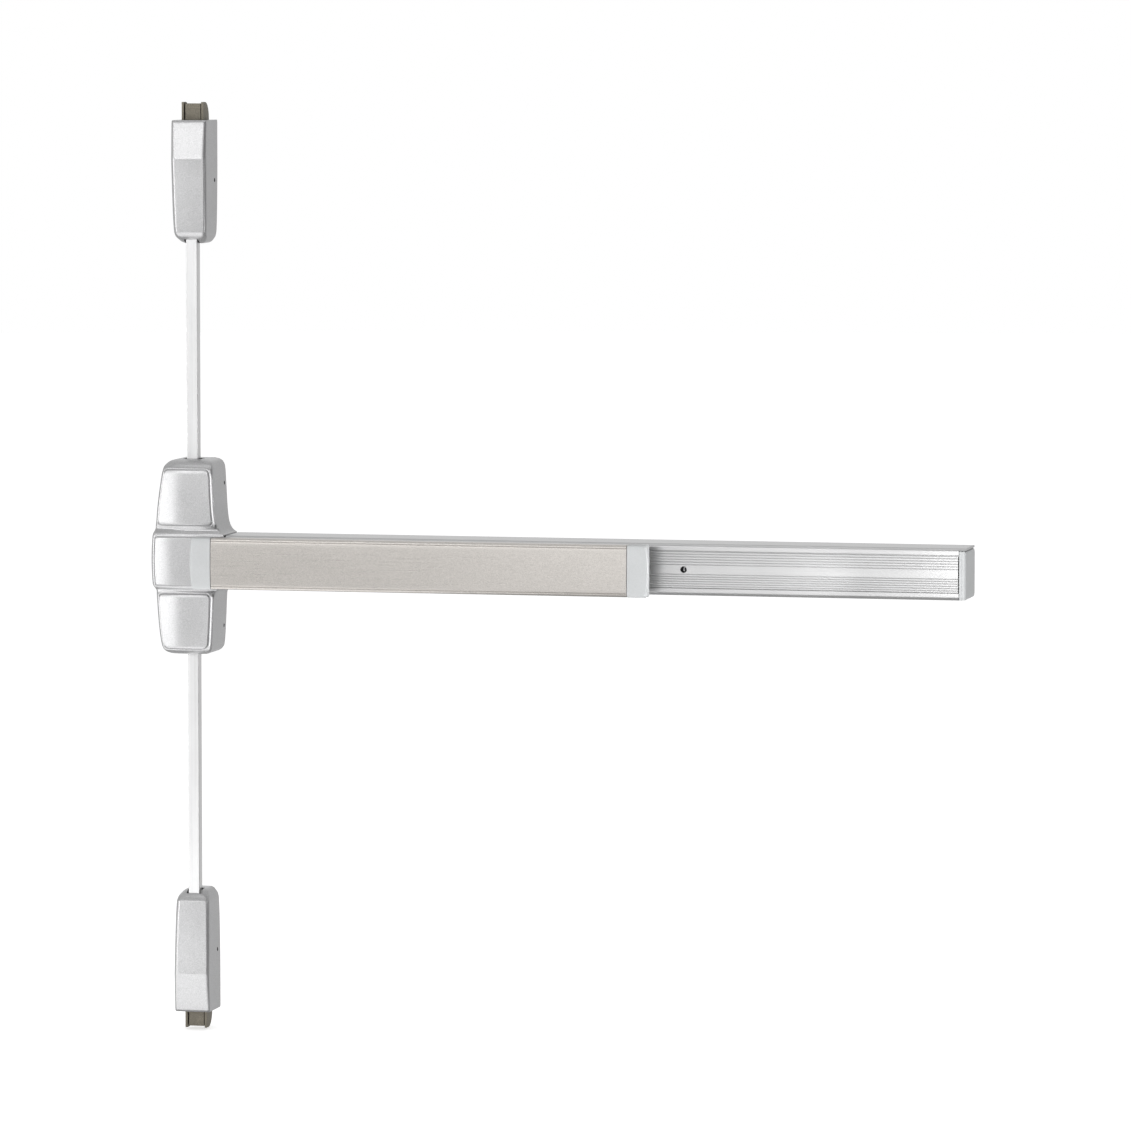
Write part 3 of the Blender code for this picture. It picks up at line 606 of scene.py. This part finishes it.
# A latch case's outlines by the distance from its bolt end: taper, depth and front edge radius
LATCH_HALF = 20.3
LATCH_INSET = smooth_curve([
    (0, 0.55), (1.2, 0.1), (4, 0), (43, 0), (100, 0.6), (124, 1.4), (129, 2.4), (133, 4.6), (136, 7.8),
    (137, 10)])
LATCH_DEPTH = smooth_curve([
    (0, 45.2), (0.8, 46.2), (2.5, 46.8), (41.5, 49.9), (43, 50.0), (44.5, 49.85), (123, 44.6), (127, 43),
    (131, 39.5), (134.5, 34.5), (136.5, 30.5), (137, 29.5)])
LATCH_ROUND = smooth_curve([(0, 3.4), (40, 4.6), (124, 5.0), (131, 6.0), (137, 7.0)])
LATCH_MARKS = [0, 43, 126, 137]
LATCH_CORE = (2.4, 43, 100, 124, 129.5, 134.6)


def latch_section(half, depth, radius, back):
    """(x, depth) points from back left over a slightly crowned face to back right."""
    points = [(-half, back), (-half, back + 1.0), (-half, depth - radius - 1.0)]
    points += arc((-half + radius, depth - radius), radius, 180, 90, 10)
    span = 2 * (half - radius)
    for s in (0.04, 0.2, 0.35, 0.5, 0.65, 0.8, 0.96):
        points.append((-half + radius + span * s, depth + 0.25 * math.sin(math.pi * s)))
    points += arc((half - radius, depth - radius), radius, 90, 0, 10)
    return points + [(half, depth - radius - 1.0), (half, back + 1.0), (half, back)]


def latch_cover(name, node, end, sign):
    """A latch case: two flat facets that meet in a ridge, rounded at the rod end. Sign 1 points up."""
    def ring(t, section):
        return [(x, -depth, end - sign * t) for x, depth in section]

    def reach(near, far):
        return sorted((end - sign * near, end - sign * far))

    outside = []
    for t in rows_between(LATCH_MARKS, 4.0, 0.6, 4.5):
        depth = LATCH_DEPTH(t)
        radius = min(LATCH_ROUND(t), depth / 2)
        outside.append(ring(t, latch_section(LATCH_HALF - LATCH_INSET(t), depth, radius, BACK_INSET)))
    inside = []
    for t in LATCH_CORE:
        half = LATCH_HALF - LATCH_INSET(t) - 2.3
        inside.append(ring(t, latch_section(half, LATCH_DEPTH(t) - 2.6, 2.4, CUT_BACK)))
    shell = loft(name, outside, "silver_paint")
    # cutters with the painted-shade material paint near-black shade into the cavity, the bolt mouth, the rod
    # slot and the screw holes
    tools = [
        loft("cut_inner", inside, "painted_shade"),
        block("cut_mouth", (-13.2, 13.2), (-2, 31), reach(5, -2), "painted_shade"),
        block("cut_rod", (-8.4, 8.4), (ROD_SLOT, 37.5), reach(127, 140), "painted_shade"),
    ]
    for side in (1, -1):
        hole = circle((-12, end - sign * 67), 2.3, SCREW_SIDES)
        tools.append(prism("cut_screw", hole, "X", side * 14, side * 23, "painted_shade"))
    cut(shell, tools)
    place(shell, "frame", "silver_paint", node)


# ---------------------------------------------------------------- bar

CASE_HALF = 28.5
CASE_DEPTH = 57.0
CASE_WALL = 2.5
CASE_ROUND = 4.0
CASE_BACK_ROUND = 3.0
MOUTH_HALF = 20.5
CASE_START = 42.4
CASE_END = 878.0
CAP_START = 870.3
COVER_START = 512.0
SEAM_INSET = 0.5
SEAM_ROUND = 3.2
CHANNEL_START = CASE_START + 1.3
END_HOLES = (14, -14)
END_HOLE_X = 836
DOGGING_X = 564.5
GROOVES = [17.1 - 2.9 * i for i in range(5)] + [-5.2 - 2.55 * i for i in range(6)]


def seam_shade_ring():
    """A near-black ring in the joint between the centre case and the channel: painted shade for the shadow in
    the gap.
    """
    half, depth = CASE_HALF - SEAM_INSET, CASE_DEPTH - SEAM_INSET
    upper = [(-1.5, half)]
    upper += arc((-depth + SEAM_ROUND, half - SEAM_ROUND), SEAM_ROUND, 90, 180, 8)
    upper += [(-depth, 21.0), (-CASE_DEPTH + CASE_WALL, 21.0)]
    upper += [(-CASE_DEPTH + CASE_WALL, CASE_HALF - CASE_WALL), (-CASE_WALL, CASE_HALF - CASE_WALL)]
    ring = prism("seam_shade_ring", mirrored(upper), "X", 42.0, CASE_START + 0.9, "painted_shade")
    place(ring, "frame", "screw_steel")


def mechanism_case():
    """The extruded channel: rounded corners, and lips with eased edges round its mouth."""
    corner = (-CASE_DEPTH + CASE_ROUND, CASE_HALF - CASE_ROUND)
    upper = arc((-CASE_BACK_ROUND, CASE_HALF - CASE_BACK_ROUND), CASE_BACK_ROUND, 0, 90, 8)
    upper += arc(corner, CASE_ROUND, 90, 180, 14)
    upper += arc((-CASE_DEPTH + 0.6, MOUTH_HALF + 0.6), 0.6, 180, 270, 4)
    upper += [(-CASE_DEPTH + CASE_WALL, MOUTH_HALF), (-CASE_DEPTH + CASE_WALL, CASE_HALF - CASE_ROUND)]
    upper += arc(corner, CASE_ROUND - CASE_WALL, 180, 90, 5)
    upper += [(-4.0, CASE_HALF - CASE_WALL), (-CASE_WALL, CASE_HALF - 4.0)]
    shell = prism("channel", mirrored(upper), "X", CHANNEL_START, CASE_END, "case_alloy")
    tools = [block("cut_end", (CAP_START, CASE_END + 1), (-1, 58), (-30, CASE_HALF - CASE_WALL))]
    tools += [prism("cut_hole", circle((END_HOLE_X, z), 3.3), "Y", 1, -4) for z in END_HOLES]
    cut(shell, tools)
    bevel(shell, 0.25, 2, 50)
    place(shell, "frame", "case_alloy", "mechanism_case")


def fluted_cover():
    """The cover plate: fine grooves above and below a plain band, and a hole for the dogging key."""
    half, top = 19.9, 19.5
    front = [(-CASE_DEPTH + 0.3, top), (-CASE_DEPTH, top - 0.3)]
    for z in GROOVES:
        wall = [(0.0, 0.62), (0.12, 0.45), (0.55, 0.12)]
        front += [(-CASE_DEPTH + deep, z + wide) for deep, wide in wall]
        front += [(-CASE_DEPTH + deep, z - wide) for deep, wide in reversed(wall)]
    front += [(-CASE_DEPTH, 0.3 - half), (-CASE_DEPTH + 0.3, -half)]
    back = [(-54.2, -half), (-54.2, -half - 3.5), (-52.4, -half - 3.5), (-52.4, -half + 1.8)]
    back += [(-54.4, -half + 3), (-54.4, half - 3)]
    back += [(-52.4, half - 1.8), (-52.4, half + 3.5), (-54.2, half + 3.5), (-54.2, top)]
    plate = prism("flutes", front + back, "X", COVER_START, CAP_START - 0.7, "case_alloy")
    cut(plate, [prism("cut_key", circle((DOGGING_X, 0), 3.65, 40), "Y", -50, -60)])
    place(plate, "frame", "case_alloy", "fluted_cover")


END_CAP_TOP = 25.6
END_CAP_ROUND = 3.1
# Distance out from the channel's end, and how far the outline draws in there: a rib, then an eased edge
END_CAP_STEPS = [
    (0.0, 0.5), (0.35, 0.0), (2.4, 0.0), (2.9, 0.35), (3.5, 0.35), (4.0, 0.0), (5.4, 0.1), (6.6, 0.55),
    (7.4, 1.4), (7.75, 2.6)]


def end_cap_outline(inset):
    top, low, front = END_CAP_TOP - inset, -CASE_HALF + inset, CASE_DEPTH - inset
    points = arc((-3.4, top - END_CAP_ROUND), END_CAP_ROUND, 0, 90, 7)
    points += arc((-front + 1.2, top - 1.2), 1.2, 90, 180, 5)
    points += arc((-front + CASE_ROUND, low + CASE_ROUND), CASE_ROUND, 180, 270, 10)
    return points + arc((-3.4, low + END_CAP_ROUND), END_CAP_ROUND, 270, 360, 7)


def end_cap():
    """The bar's end: a rounded front edge with a shallow rib, and a plain end face with a soft border."""
    start, end = CAP_START + 0.3, CASE_END + 0.19
    rings = []
    for along, inset in END_CAP_STEPS:
        rings.append([(min(start + along, end), y, z) for y, z in end_cap_outline(inset)])
    cap = loft("cap_end", rings, "cap_grey")
    hollow = (-CASE_HALF + 3, END_CAP_TOP - 3)
    cut(cap, [block("cut_cap", (CAP_START - 1, end - 2.6), (3, 53), hollow)])
    place(cap, "frame", "cap_grey", "end_cap")


def dogging_glint():
    """The bright curved edge of the hex socket, seen through the key hole."""
    outside = arc((DOGGING_X + 1.9, 0.0), 3.0, 128, 232, 14)
    inside = arc((DOGGING_X + 2.4, 0.0), 2.9, 229, 131, 14)
    rib = prism("socket_edge", outside + inside, "Y", -50.5, -51.0, "rod_steel")
    place(rib, "dogging", "zinc_steel")


# ---------------------------------------------------------------- pad

PAD_OUT = 97.0
PAD_BACK = 81.0
PAD_HALF = 28.5
PAD_CROWN = 1.0
PAD_ROUND = 2.6
PAD_SHARES = (0.84, 0.72, 0.58, 0.42, 0.26, 0.09)
PAD_CAP_GROW = 0.4
PAD_CAP_EASE = 2.4
PAD_CAP_BOW = 2.2


def pad_section(grow, radius, hem):
    """The pad's outside as (y, z): a crowned face with rounded edges, and a hem line along them if asked."""
    half, front = PAD_HALF + grow, PAD_OUT + grow
    upper = [(-PAD_BACK, half - 0.3), (-PAD_BACK - 0.3, half)]
    upper += arc((-(front - 1.2) + radius, half - radius), radius, 90, 176, 10)
    if hem:
        upper += [(-(front - 1.16), half - radius - 0.5), (-(front - 1.5), half - radius - 0.75)]
        upper += [(-(front - 1.5), half - radius - 1.0), (-(front - 0.95), half - radius - 1.3)]
    for share in PAD_SHARES:
        upper.append((-(front - PAD_CROWN * share ** 2.2), half * share))
    return mirrored(upper)


def push_pad():
    """The folded steel pad, open at its back."""
    inside = [(-PAD_BACK, 26.5), (-PAD_OUT + 2.9, 26.5), (-PAD_OUT + 2.0, 20.0)]
    outline = pad_section(0.0, PAD_ROUND, True) + mirrored(inside)[::-1]
    shell = prism("pad_face", outline, "X", 37.6, 509.0, "pad_steel")
    bevel(shell, 0.15, 2, 60)
    place(shell, "pad", "pad_steel", "push_pad")


def pad_cap(name, node, inner, outer):
    """A moulded end of the pad: the pad's section a little enlarged, bowed and eased at its free edge."""
    direction = 1 if outer > inner else -1
    length = abs(outer - inner)
    steps = [(0.0, 0.35), (0.5, 0.0)] + [(length * s, 0.0) for s in (0.2, 0.45, 0.7, 0.85)]
    for a in (0.25, 0.55, 0.85, 1.15, 1.4, 1.57):
        steps.append((length - PAD_CAP_EASE + PAD_CAP_EASE * math.sin(a), PAD_CAP_EASE * (1 - math.cos(a))))
    rings = []
    for along, drop in steps:
        ring = []
        for y, z in pad_section(PAD_CAP_GROW, 3.0, False):
            bow = PAD_CAP_BOW * (z / (PAD_HALF + PAD_CAP_GROW)) ** 2 * (along / length)
            x = inner + direction * (along - bow)
            ring.append((x, min(y + drop, -PAD_BACK), z * (1 - drop / 42)))
        rings.append(ring)
    cap = loft(name, rings, "cap_grey")
    hollow = sorted((inner - direction * 1.0, outer - direction * 5.0))
    cut(cap, [block("cut_cap", hollow, (78, 94.2), (-26, 26))])
    place(cap, "pad", "cap_grey", node)


# ---------------------------------------------------------------- rods and bolts

ROD_HALF = 6.35
ROD_DEPTHS = (23.65, 36.35)
ROD_NEAR = 46.4  # where a rod starts, from the bar's centreline
ROD_SHORT = 25.4  # how far it ends inside its latch
BOLT_HALF = 12.5
BOLT_OUT = 20


def rod(name, node, body, start, end):
    low, high = sorted((start, end))
    bar = block(name, (-ROD_HALF, ROD_HALF), ROD_DEPTHS, (low, high), "rod_steel")
    bevel(bar, 0.75, 3, 35)
    place(bar, body, "rod_steel", node)


def bolt(name, node, body, tip, sign):
    """A beaked bolt: two cheeks with a tongue between them, and a back that curves away from the tip."""
    angles = [math.pi / 2 * i / 16 for i in range(17)]
    back = [(-(22 - 15 * math.sin(a)), tip - sign * 18 * (1 - math.cos(a))) for a in angles]
    root = tip - sign * 45
    outline = back + [(-7, root), (-30, root), (-30, tip)]
    shape = prism(name, outline, "X", -BOLT_HALF, BOLT_HALF, "bolt_steel")
    end = tip + sign * 2
    slot = sorted((tip - sign * 30, end))
    tools = [block("cut_gap", (side * 8.7, side * 9.9), (22.5, 32), slot) for side in (1, -1)]
    tools.append(block("cut_face", (-8.7, 8.7), (28.4, 32), slot))
    tools.append(block("cut_tip", (-9.9, 9.9), (-2, 32), sorted((tip - sign * 1.7, end))))
    cut(shape, tools)
    bevel(shape, 0.4, 2, 30)
    place(shape, body, "bolt_steel", node)


# ---------------------------------------------------------------- stage

WORLD_STRENGTH = 0.62
FLOOR_RADIUS = 16.0
FLOOR_GAP = 0.002
DOME_RADIUS = 24.0
CARD_GAP = 0.0015
CARD_X = (-1.0, 0.16)
CARD_Y = (-1.4, -0.08)
SENSOR_WIDTH = 36.0
FOCAL_LENGTH = 6.542 * SENSOR_WIDTH
CAMERA_PLACE = (2.257, -7.963, 0.655)
CAMERA_DIP = 4.6
CAMERA_TURN = 13.0


def paper(name, colour, glow):
    """Matt white paper that glows a little, so that it stays white where the lamps don't reach."""
    found = bpy.data.materials.new(name)
    found.use_nodes = True
    shader = found.node_tree.nodes["Principled BSDF"]
    shader.inputs["Base Color"].default_value = (colour, colour, colour, 1)
    shader.inputs["Roughness"].default_value = 0.9
    shader.inputs["Specular IOR Level"].default_value = 0.0
    shader.inputs["Emission Color"].default_value = (*WHITE, 1)
    shader.inputs["Emission Strength"].default_value = glow
    return found


def stage_object(mesh, material):
    """Adds a stage mesh that the object's own surfaces don't reflect."""
    obj = bpy.data.objects.new(mesh.name, mesh)
    bpy.context.scene.collection.objects.link(obj)
    mesh.materials.append(material)
    obj.visible_glossy = False
    obj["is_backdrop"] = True
    return obj


def disc(name, radius):
    work = bmesh.new()
    bmesh.ops.create_circle(work, cap_ends=True, segments=64, radius=radius)
    mesh = bpy.data.meshes.new(name)
    work.to_mesh(mesh)
    work.free()
    return mesh


def sphere(name, radius):
    work = bmesh.new()
    bmesh.ops.create_uvsphere(work, u_segments=48, v_segments=24, radius=radius)
    mesh = bpy.data.meshes.new(name)
    work.to_mesh(mesh)
    work.free()
    return mesh


def white_room():
    """A pale floor inside a white dome, so that every side of the object has the same plain background."""
    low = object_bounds()[0][2] - FLOOR_GAP
    floor = stage_object(disc("floor", FLOOR_RADIUS), paper("floor_paper", 0.93, 0.5))
    floor.location.z = low
    dome = stage_object(sphere("dome", DOME_RADIUS), paper("dome_paper", 0.0, 1.0))
    dome.visible_diffuse = False
    dome.visible_shadow = False


def bounce_card():
    """A white card on the floor in front of the lower latch. The camera doesn't see it."""
    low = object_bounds()[0][2] - CARD_GAP
    mesh = bpy.data.meshes.new("bounce_card")
    corners = [(CARD_X[0], CARD_Y[0]), (CARD_X[1], CARD_Y[0]), (CARD_X[1], CARD_Y[1]), (CARD_X[0], CARD_Y[1])]
    mesh.from_pydata([(x, y, low) for x, y in corners], [], [(0, 1, 2, 3)])
    card = stage_object(mesh, paper("card_paper", 0.93, 1.15))
    card.visible_glossy = True
    card.visible_camera = False
    card.visible_shadow = False


def softbox(name, where, target, size, power, spread=180):
    """An area lamp that points at a target. Lengths in metres, power in watts, spread in degrees."""
    lamp = bpy.data.lights.new(name, "AREA")
    lamp.spread = math.radians(spread)
    lamp.shape = "RECTANGLE"
    lamp.size, lamp.size_y = size
    lamp.energy = power
    obj = bpy.data.objects.new(name, lamp)
    obj.location = where
    obj.rotation_euler = (Vector(target) - Vector(where)).to_track_quat("-Z", "Y").to_euler()
    obj.visible_camera = False
    bpy.context.scene.collection.objects.link(obj)


def calculated(tree, operation, first, second):
    """A Math node on an output and either another output or a number."""
    node = tree.nodes.new("ShaderNodeMath")
    node.operation = operation
    tree.links.new(first, node.inputs[0])
    if isinstance(second, float):
        node.inputs[1].default_value = second
    else:
        tree.links.new(second, node.inputs[1])
    return node.outputs[0]


def fade(tree, value, start, end, low, high):
    """A smooth step from low to high as the value goes from start to end."""
    node = tree.nodes.new("ShaderNodeMapRange")
    node.interpolation_type = "SMOOTHSTEP"
    node.inputs["From Min"].default_value = start
    node.inputs["From Max"].default_value = end
    node.inputs["To Min"].default_value = low
    node.inputs["To Max"].default_value = high
    tree.links.new(value, node.inputs["Value"])
    return node.outputs["Result"]


def studio_world():
    """A soft grey surround: darker underneath and to the front right, and brighter behind."""
    world = bpy.data.worlds.new("studio")
    bpy.context.scene.world = world
    world.use_nodes = True
    tree = world.node_tree
    parts = tree.nodes.new("ShaderNodeSeparateXYZ")
    tree.links.new(tree.nodes.new("ShaderNodeTexCoord").outputs["Generated"], parts.inputs[0])
    x, y, z = parts.outputs
    below = fade(tree, z, -0.62, -0.22, 0.5, 1.0)
    rightwards = calculated(tree, "MULTIPLY", x, 0.87)
    flank = calculated(tree, "SUBTRACT", rightwards, calculated(tree, "MULTIPLY", y, 0.5))
    right = fade(tree, flank, 0.5, 0.85, 1.0, 0.2)
    behind = fade(tree, y, 0.2, 0.6, 0.0, 1.0)
    extra = calculated(tree, "MULTIPLY", behind, fade(tree, x, -0.14, 0.1, 0.5, 0.14))
    back = calculated(tree, "ADD", extra, 1.0)
    strength = calculated(tree, "MULTIPLY", calculated(tree, "MULTIPLY", below, right), back)
    strength = calculated(tree, "MULTIPLY", strength, WORLD_STRENGTH)
    tree.nodes["Background"].inputs["Color"].default_value = (*WHITE, 1)
    tree.links.new(strength, tree.nodes["Background"].inputs["Strength"])


def studio():
    studio_world()
    softbox("front_box", (0.6, -2.8, 0.15), (0.6, 0, 0.1), (1.8, 2.2), 13)
    softbox("left_strip", (-1.82, -2.34, -0.1), (0.0, 0, 0.0), (1.1, 1.3), 17.5)
    softbox("high_box", (-0.75, -2.6, 0.88), (0.0, 0, 0.45), (0.9, 0.55), 7.0)
    softbox("top_box", (0.4, -0.6, 3.0), (0.4, 0, 0), (3.0, 1.6), 11)
    softbox("case_box", (0.93, -0.5, 0.02), (0.54, -0.05, 0.0), (0.3, 0.3), 1.25)
    softbox("cap_box", (0.80, -0.092, 0.0), (0.533, -0.062, 0.0), (0.02, 0.04), 0.06, 60)
    view = bpy.context.scene.view_settings
    view.view_transform = "Standard"
    view.look = "None"
    view.exposure = 0.0


def camera():
    data = bpy.data.cameras.new("camera")
    data.sensor_width = SENSOR_WIDTH
    data.lens = FOCAL_LENGTH
    data.clip_end = 60.0
    obj = bpy.data.objects.new("camera", data)
    obj.location = CAMERA_PLACE
    obj.rotation_euler = (math.radians(90 - CAMERA_DIP), 0, math.radians(CAMERA_TURN))
    bpy.context.scene.collection.objects.link(obj)
    bpy.context.scene.camera = obj


def main():
    paint_nodes()
    centre_cover()
    top = round(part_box("top_latch_cover")[1].z * 1000, 3)
    bottom = round(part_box("bottom_latch_cover")[0].z * 1000, 3)
    latch_cover("cover_top", "top_latch_cover", top, 1)
    latch_cover("cover_bottom", "bottom_latch_cover", bottom, -1)
    seam_shade_ring()
    mechanism_case()
    fluted_cover()
    end_cap()
    dogging_glint()
    push_pad()
    pad_cap("pad_end_left", "pad_cap_left", 37.0, 13.0)
    pad_cap("pad_end_right", "pad_cap_right", 509.6, 533.5)
    rod("rod_up", "upper_rod", "upper_rod", ROD_NEAR, top - ROD_SHORT)
    rod("rod_down", "lower_rod", "lower_rod", -ROD_NEAR, bottom + ROD_SHORT)
    bolt("bolt_up", "top_bolt", "upper_rod", top + BOLT_OUT, 1)
    bolt("bolt_down", "bottom_bolt", "lower_rod", bottom - BOLT_OUT, -1)
    white_room()
    bounce_card()
    studio()
    camera()


main()
